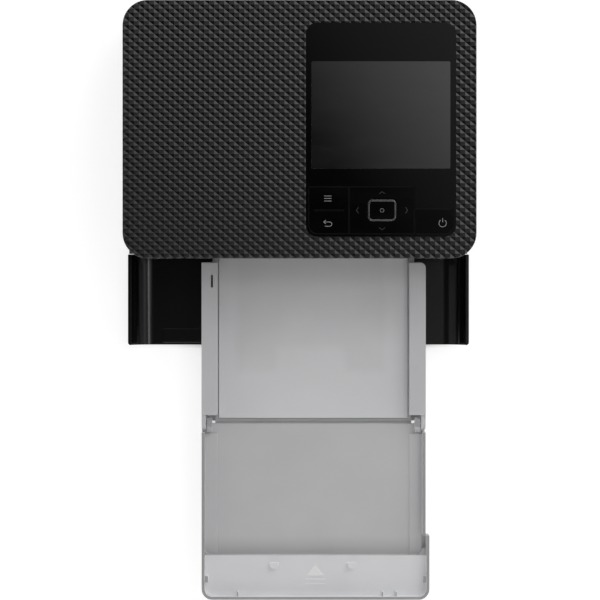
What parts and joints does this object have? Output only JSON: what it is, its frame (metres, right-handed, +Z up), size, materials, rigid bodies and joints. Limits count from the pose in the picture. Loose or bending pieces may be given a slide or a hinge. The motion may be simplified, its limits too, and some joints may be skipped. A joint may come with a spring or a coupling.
{
  "type": "photo printer",
  "caption": "Compact photo printer with a display and keys on top, a fold-down front door and a seated paper cassette whose output cover swings up.",
  "frame": {"origin": "on the table under the middle of the printer's body, between its four feet", "axes": "+X to the printer's right as its keys are read, +Y to its rear so that the door and the cassette point to -Y, +Z up"},
  "size_m": [0.1822, 0.313, 0.0576],
  "materials": {
    "body_black": "satin",
    "cover_black": "satin, diamond pattern",
    "panel_gloss": "polished",
    "display_glass": "polished",
    "display_frame": "satin",
    "key_gloss": "polished",
    "key_rubber": "matt",
    "ring_chrome": "polished",
    "door_black": "smooth satin",
    "rubber": "matt",
    "circuit_board": "satin",
    "socket_steel": "bright",
    "socket_black": "satin",
    "chassis_steel": "zinc plated",
    "shaft_steel": "ground",
    "inner_black": "satin",
    "roller_rubber": "ground",
    "gear_plastic": "satin",
    "pinion_brass": "bright",
    "sink_aluminium": "extruded",
    "head_ceramic": "glazed",
    "motor_steel": "plated",
    "case_grey": "satin",
    "spool_plastic": "satin",
    "film": "thin film",
    "screw_steel": "zinc plated",
    "cassette_grey": "smoky translucent, finely grained",
    "cassette_lid": "smoky translucent, finely grained",
    "lift_grey": "satin"
  },
  "bodies": {
    "printer": {"base_shell": "body_black", "rubber_feet": "rubber", "rear_panel": "body_black", "front_frame": "body_black", "top_cover": "cover_black", "control_panel": "panel_gloss", "display_window": "display_glass", "display_module": "display_frame", "key_board": "circuit_board", "front_door_pins": "shaft_steel", "ink_door_pins": "shaft_steel", "main_board": "circuit_board", "card_slot": "socket_steel", "usb_port": "socket_steel", "power_inlet": "socket_black", "chassis_left": "chassis_steel", "chassis_right": "chassis_steel", "motor_bracket": "chassis_steel", "cassette_runner": "inner_black", "paper_guide": "inner_black", "pickup_shaft": "shaft_steel", "feed_motor": "motor_steel", "ribbon_motor": "motor_steel", "ribbon_case": "case_grey", "ribbon_film": "film", "fan_housing": "socket_black", "screws": "screw_steel"},
    "rocker_key": {"rocker_key": "key_gloss"},
    "nav_pad": {"nav_pad": "key_rubber"},
    "nav_key": {"nav_key": "key_gloss"},
    "select_key": {"select_key": "key_gloss", "select_ring": "ring_chrome"},
    "power_key": {"power_key": "key_gloss"},
    "front_door": {"front_door": "door_black"},
    "ink_door": {"ink_door": "body_black"},
    "pickup_arm": {"pickup_arm": "inner_black"},
    "pickup_roller": {"pickup_roller": "roller_rubber"},
    "platen": {"platen_shaft": "shaft_steel", "platen_roller": "roller_rubber", "platen_gear": "gear_plastic"},
    "idler": {"idler_gear": "gear_plastic"},
    "capstan": {"capstan_roller": "shaft_steel", "capstan_gear": "gear_plastic"},
    "pinch_roller": {"pinch_roller": "shaft_steel"},
    "feed_pinion": {"feed_pinion": "pinion_brass"},
    "print_head": {"head_frame": "chassis_steel", "heat_sink": "sink_aluminium", "thermal_head": "head_ceramic"},
    "takeup": {"takeup_spool": "spool_plastic", "takeup_gear": "gear_plastic"},
    "ribbon_pinion": {"ribbon_pinion": "pinion_brass"},
    "supply": {"supply_spool": "spool_plastic"},
    "fan": {"fan_rotor": "socket_black"},
    "cassette": {"cassette_base": "cassette_grey", "inner_lid": "cassette_lid", "output_cover_pins": "cassette_grey"},
    "lift_plate": {"lift_plate": "lift_grey"},
    "output_cover": {"output_cover": "cassette_grey"}
  },
  "joints": [
    {"name": "rocker_key_tip", "type": "hinge", "parent": "printer", "child": "rocker_key", "pos_m": [0.01505, -0.0418, 0.055], "axis": [1, 0, 0], "range_deg": [-2, 2], "stiffness_Nm_per_rad": 0.15},
    {"name": "nav_tip_front_back", "type": "hinge", "parent": "printer", "child": "nav_pad", "pos_m": [0.04245, -0.0418, 0.0546], "axis": [1, 0, 0], "range_deg": [-1.6, 1.6], "stiffness_Nm_per_rad": 0.25},
    {"name": "nav_tip_sideways", "type": "hinge", "parent": "nav_pad", "child": "nav_key", "pos_m": [0.04245, -0.0418, 0.0546], "axis": [0, 1, 0], "range_deg": [-1.2, 1.2], "stiffness_Nm_per_rad": 0.25},
    {"name": "select_key_press", "type": "slide", "parent": "printer", "child": "select_key", "axis": [0, 0, -1], "range_m": [0, 0.0003], "stiffness_N_per_m": 1500},
    {"name": "power_key_press", "type": "slide", "parent": "printer", "child": "power_key", "axis": [0, 0, -1], "range_m": [0, 0.0003], "stiffness_N_per_m": 1500},
    {"name": "front_door_hinge", "type": "hinge", "parent": "printer", "child": "front_door", "pos_m": [0, -0.064, 0.0037], "axis": [-1, 0, 0], "range_deg": [0, 7]},
    {"name": "ink_door_hinge", "type": "hinge", "parent": "printer", "child": "ink_door", "pos_m": [0.09, 0.012, 0.026], "axis": [0, 1, 0], "range_deg": [0, 90]},
    {"name": "pickup_arm_pivot", "type": "hinge", "parent": "printer", "child": "pickup_arm", "pos_m": [0.0078, -0.0398, 0.038], "axis": [-1, 0, 0], "range_deg": [0, 6], "stiffness_Nm_per_rad": 0.05, "springref_deg": -5.73},
    {"name": "pickup_roller_spin", "type": "hinge", "parent": "pickup_arm", "child": "pickup_roller", "pos_m": [0.0078, -0.021, 0.0275], "axis": [1, 0, 0], "continuous": true},
    {"name": "platen_spin", "type": "hinge", "parent": "printer", "child": "platen", "pos_m": [0.0078, 0.012, 0.02], "axis": [1, 0, 0], "continuous": true},
    {"name": "idler_spin", "type": "hinge", "parent": "printer", "child": "idler", "pos_m": [-0.0587, 0.03, 0.02], "axis": [1, 0, 0], "continuous": true},
    {"name": "capstan_spin", "type": "hinge", "parent": "printer", "child": "capstan", "pos_m": [0.0078, 0.048, 0.02], "axis": [1, 0, 0], "continuous": true},
    {"name": "pinch_roller_spin", "type": "hinge", "parent": "printer", "child": "pinch_roller", "pos_m": [0.0078, 0.048, 0.02905], "axis": [1, 0, 0], "continuous": true},
    {"name": "feed_motor_spin", "type": "hinge", "parent": "printer", "child": "feed_pinion", "pos_m": [-0.0587, 0.03, 0.0326], "axis": [1, 0, 0], "continuous": true},
    {"name": "print_head_pivot", "type": "hinge", "parent": "printer", "child": "print_head", "pos_m": [0.0078, 0.046, 0.047], "axis": [1, 0, 0], "range_deg": [0, 3.3], "stiffness_Nm_per_rad": 1, "springref_deg": -5.73},
    {"name": "takeup_spin", "type": "hinge", "parent": "printer", "child": "takeup", "pos_m": [0.0078, -0.008, 0.0375], "axis": [1, 0, 0], "continuous": true},
    {"name": "ribbon_motor_spin", "type": "hinge", "parent": "printer", "child": "ribbon_pinion", "pos_m": [-0.0587, -0.0224, 0.0375], "axis": [1, 0, 0], "continuous": true},
    {"name": "supply_spin", "type": "hinge", "parent": "printer", "child": "supply", "pos_m": [0.0078, 0.032, 0.0375], "axis": [1, 0, 0], "continuous": true},
    {"name": "fan_spin", "type": "hinge", "parent": "printer", "child": "fan", "pos_m": [-0.0847, 0.0023, 0.0248], "axis": [1, 0, 0], "continuous": true},
    {"name": "cassette_slide", "type": "slide", "parent": "printer", "child": "cassette", "axis": [0, -1, 0], "range_m": [0, 0.09]},
    {"name": "lift_plate_hinge", "type": "hinge", "parent": "cassette", "child": "lift_plate", "pos_m": [0.0078, -0.1252, 0.0141], "axis": [1, 0, 0], "range_deg": [0, 2.2]},
    {"name": "output_cover_hinge", "type": "hinge", "parent": "cassette", "child": "output_cover", "pos_m": [0.0078, -0.1535, 0.0255], "axis": [-1, 0, 0], "range_deg": [0, 100]}
  ],
  "couplings": [
    {"joint": "platen_spin", "follows": "capstan_spin", "ratio": 1},
    {"joint": "idler_spin", "follows": "capstan_spin", "ratio": -1},
    {"joint": "feed_motor_spin", "follows": "capstan_spin", "ratio": 2.5},
    {"joint": "ribbon_motor_spin", "follows": "takeup_spin", "ratio": -3}
  ]
}
